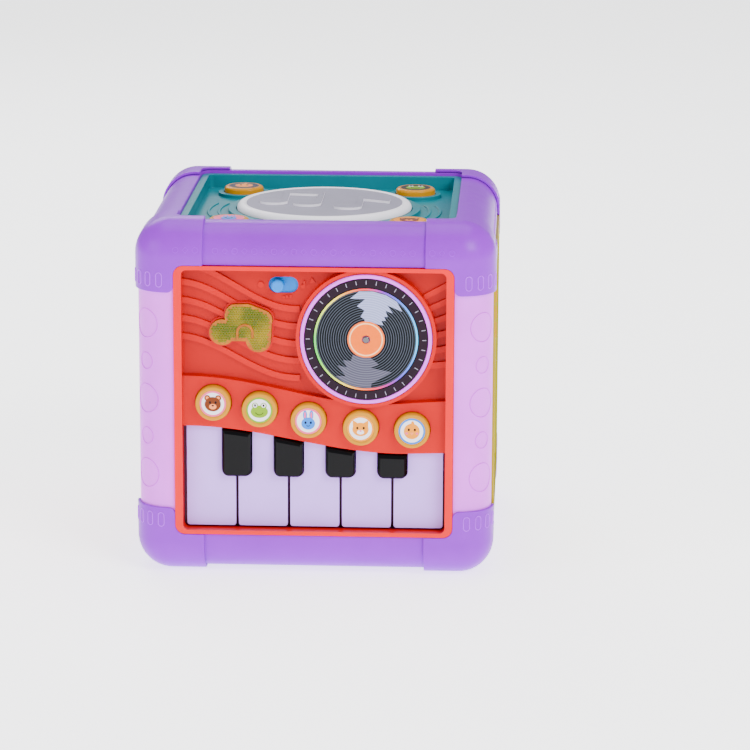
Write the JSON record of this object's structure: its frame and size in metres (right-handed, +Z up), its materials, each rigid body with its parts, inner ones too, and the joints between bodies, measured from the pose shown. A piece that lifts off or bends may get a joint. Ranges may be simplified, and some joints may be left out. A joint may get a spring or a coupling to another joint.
{
  "type": "baby activity cube",
  "caption": "Plastic activity cube with piano keys and a turntable in front, a drum on top, a shape sorter with blocks, turning gears and a speaker back.",
  "frame": {"origin": "centre of the cube in plan, on the surface it stands on", "axes": "+Z up through the drum face; the piano and turntable face looks along -Y, the shape sorter face along +X"},
  "size_m": [0.2, 0.2, 0.2],
  "materials": {
    "purple_plastic": "glossy moulded ABS",
    "lilac_plastic": "satin moulded ABS",
    "red_plastic": "glossy moulded ABS",
    "teal_plastic": "glossy moulded ABS",
    "yellow_plastic": "glossy moulded ABS",
    "white_plastic": "glossy moulded ABS",
    "black_plastic": "high-gloss moulded ABS",
    "lime_plastic": "glossy moulded ABS",
    "orange_plastic": "glossy moulded ABS",
    "green_plastic": "glossy moulded ABS",
    "pad_plastic": "satin moulded ABS",
    "bin_plastic": "plain moulded polypropylene",
    "amber_window": "clear tinted moulding with a prism back",
    "steel": "nickel-plated steel",
    "dome_rubber": "silicone dome strip",
    "circuit_board": "green solder mask",
    "speaker_mix": "steel basket and paper cone",
    "cell_jacket": "printed steel can"
  },
  "bodies": {
    "cube": {"top_frame": "purple_plastic", "bottom_frame": "purple_plastic", "post_front_left": "lilac_plastic", "post_front_right": "lilac_plastic", "post_back_left": "lilac_plastic", "post_back_right": "lilac_plastic", "cap_top_front_left": "purple_plastic", "cap_top_front_right": "purple_plastic", "cap_top_back_left": "purple_plastic", "cap_top_back_right": "purple_plastic", "cap_base_front_left": "purple_plastic", "cap_base_front_right": "purple_plastic", "cap_base_back_left": "purple_plastic", "cap_base_back_right": "purple_plastic", "front_panel": "red_plastic", "turntable_axle": "steel", "note_lens": "amber_window", "key_hinge_rod": "steel", "key_membrane": "dome_rubber", "button_board": "circuit_board", "main_board": "circuit_board", "top_panel": "teal_plastic", "sorter_frame": "lime_plastic", "left_panel": "red_plastic", "back_panel": "teal_plastic", "speaker": "speaker_mix", "base_panel": "purple_plastic", "battery_door": "purple_plastic", "batteries": "cell_jacket", "case_screws": "steel", "block_bin": "bin_plastic"},
    "turntable": {"turntable_platter": "lilac_plastic", "record_disc": "black_plastic"},
    "volume_switch": {"switch_slider": "teal_plastic"},
    "drum": {"drum_pad": "pad_plastic"},
    "door": {"sorter_door": "lime_plastic"},
    "gear_big": {"gear_orange": "orange_plastic"},
    "gear_small": {"gear_purple": "purple_plastic"},
    "song_1": {"song_button_1": "yellow_plastic"},
    "white_1": {"white_key_1": "white_plastic"},
    "song_2": {"song_button_2": "yellow_plastic"},
    "white_2": {"white_key_2": "white_plastic"},
    "song_3": {"song_button_3": "yellow_plastic"},
    "white_3": {"white_key_3": "white_plastic"},
    "song_4": {"song_button_4": "yellow_plastic"},
    "white_4": {"white_key_4": "white_plastic"},
    "song_5": {"song_button_5": "yellow_plastic"},
    "white_5": {"white_key_5": "white_plastic"},
    "black_1": {"black_key_1": "black_plastic"},
    "tap_1": {"drum_button_1": "yellow_plastic"},
    "black_2": {"black_key_2": "black_plastic"},
    "tap_2": {"drum_button_2": "yellow_plastic"},
    "black_3": {"black_key_3": "black_plastic"},
    "tap_3": {"drum_button_3": "yellow_plastic"},
    "black_4": {"black_key_4": "black_plastic"},
    "tap_4": {"drum_button_4": "yellow_plastic"},
    "block_butterfly": {"block_butterfly": "purple_plastic"},
    "block_star": {"block_star": "yellow_plastic"},
    "block_hexagon": {"block_hexagon": "orange_plastic"},
    "block_round": {"block_round": "green_plastic"}
  },
  "joints": [
    {"name": "turntable_spin", "type": "hinge", "parent": "cube", "child": "turntable", "pos_m": [0.0288, -0.0975, 0.1359], "axis": [0, -1, 0], "continuous": true},
    {"name": "volume_slide", "type": "slide", "parent": "cube", "child": "volume_switch", "axis": [1, 0, 0], "range_m": [0, 0.007]},
    {"name": "song_button_1_press", "type": "slide", "parent": "cube", "child": "song_1", "axis": [0, 1, 0], "range_m": [0, 0.002], "stiffness_N_per_m": 500, "springref_m": -0.002},
    {"name": "song_button_2_press", "type": "slide", "parent": "cube", "child": "song_2", "axis": [0, 1, 0], "range_m": [0, 0.002], "stiffness_N_per_m": 500, "springref_m": -0.002},
    {"name": "song_button_3_press", "type": "slide", "parent": "cube", "child": "song_3", "axis": [0, 1, 0], "range_m": [0, 0.002], "stiffness_N_per_m": 500, "springref_m": -0.002},
    {"name": "song_button_4_press", "type": "slide", "parent": "cube", "child": "song_4", "axis": [0, 1, 0], "range_m": [0, 0.002], "stiffness_N_per_m": 500, "springref_m": -0.002},
    {"name": "song_button_5_press", "type": "slide", "parent": "cube", "child": "song_5", "axis": [0, 1, 0], "range_m": [0, 0.002], "stiffness_N_per_m": 500, "springref_m": -0.002},
    {"name": "white_key_1_press", "type": "hinge", "parent": "cube", "child": "white_1", "pos_m": [0, -0.084, 0.104], "axis": [1, 0, 0], "range_deg": [0, 3], "stiffness_Nm_per_rad": 0.3, "springref_deg": -2.86},
    {"name": "white_key_2_press", "type": "hinge", "parent": "cube", "child": "white_2", "pos_m": [0, -0.084, 0.104], "axis": [1, 0, 0], "range_deg": [0, 3], "stiffness_Nm_per_rad": 0.3, "springref_deg": -2.86},
    {"name": "white_key_3_press", "type": "hinge", "parent": "cube", "child": "white_3", "pos_m": [0, -0.084, 0.104], "axis": [1, 0, 0], "range_deg": [0, 3], "stiffness_Nm_per_rad": 0.3, "springref_deg": -2.86},
    {"name": "white_key_4_press", "type": "hinge", "parent": "cube", "child": "white_4", "pos_m": [0, -0.084, 0.104], "axis": [1, 0, 0], "range_deg": [0, 3], "stiffness_Nm_per_rad": 0.3, "springref_deg": -2.86},
    {"name": "white_key_5_press", "type": "hinge", "parent": "cube", "child": "white_5", "pos_m": [0, -0.084, 0.104], "axis": [1, 0, 0], "range_deg": [0, 3], "stiffness_Nm_per_rad": 0.3, "springref_deg": -2.86},
    {"name": "black_key_1_press", "type": "hinge", "parent": "cube", "child": "black_1", "pos_m": [0, -0.084, 0.104], "axis": [1, 0, 0], "range_deg": [0, 3], "stiffness_Nm_per_rad": 0.3, "springref_deg": -2.86},
    {"name": "black_key_2_press", "type": "hinge", "parent": "cube", "child": "black_2", "pos_m": [0, -0.084, 0.104], "axis": [1, 0, 0], "range_deg": [0, 3], "stiffness_Nm_per_rad": 0.3, "springref_deg": -2.86},
    {"name": "black_key_3_press", "type": "hinge", "parent": "cube", "child": "black_3", "pos_m": [0, -0.084, 0.104], "axis": [1, 0, 0], "range_deg": [0, 3], "stiffness_Nm_per_rad": 0.3, "springref_deg": -2.86},
    {"name": "black_key_4_press", "type": "hinge", "parent": "cube", "child": "black_4", "pos_m": [0, -0.084, 0.104], "axis": [1, 0, 0], "range_deg": [0, 3], "stiffness_Nm_per_rad": 0.3, "springref_deg": -2.86},
    {"name": "drum_press", "type": "slide", "parent": "cube", "child": "drum", "axis": [0, 0, -1], "range_m": [0, 0.0018], "stiffness_N_per_m": 2000, "springref_m": -0.0015},
    {"name": "drum_button_1_press", "type": "slide", "parent": "cube", "child": "tap_1", "axis": [0, 0, -1], "range_m": [0, 0.002], "stiffness_N_per_m": 500, "springref_m": -0.002},
    {"name": "drum_button_2_press", "type": "slide", "parent": "cube", "child": "tap_2", "axis": [0, 0, -1], "range_m": [0, 0.002], "stiffness_N_per_m": 500, "springref_m": -0.002},
    {"name": "drum_button_3_press", "type": "slide", "parent": "cube", "child": "tap_3", "axis": [0, 0, -1], "range_m": [0, 0.002], "stiffness_N_per_m": 500, "springref_m": -0.002},
    {"name": "drum_button_4_press", "type": "slide", "parent": "cube", "child": "tap_4", "axis": [0, 0, -1], "range_m": [0, 0.002], "stiffness_N_per_m": 500, "springref_m": -0.002},
    {"name": "sorter_door_swing", "type": "hinge", "parent": "cube", "child": "door", "pos_m": [0.0935, 0.0655, 0.1], "axis": [0, 0, 1], "range_deg": [0, 95]},
    {"name": "block_butterfly_post", "type": "slide", "parent": "door", "child": "block_butterfly", "axis": [1, 0, 0], "range_m": [-0.06, 0.03]},
    {"name": "block_star_post", "type": "slide", "parent": "door", "child": "block_star", "axis": [1, 0, 0], "range_m": [-0.06, 0.03]},
    {"name": "block_hexagon_post", "type": "slide", "parent": "door", "child": "block_hexagon", "axis": [1, 0, 0], "range_m": [-0.06, 0.03]},
    {"name": "block_round_post", "type": "slide", "parent": "door", "child": "block_round", "axis": [1, 0, 0], "range_m": [-0.06, 0.03]},
    {"name": "gear_orange_turn", "type": "hinge", "parent": "cube", "child": "gear_big", "pos_m": [-0.095, 0.022, 0.122], "axis": [-1, 0, 0], "continuous": true},
    {"name": "gear_purple_turn", "type": "hinge", "parent": "cube", "child": "gear_small", "pos_m": [-0.095, -0.01392, 0.08608], "axis": [-1, 0, 0], "continuous": true}
  ],
  "couplings": [
    {"joint": "gear_purple_turn", "follows": "gear_orange_turn", "ratio": -1.5}
  ]
}
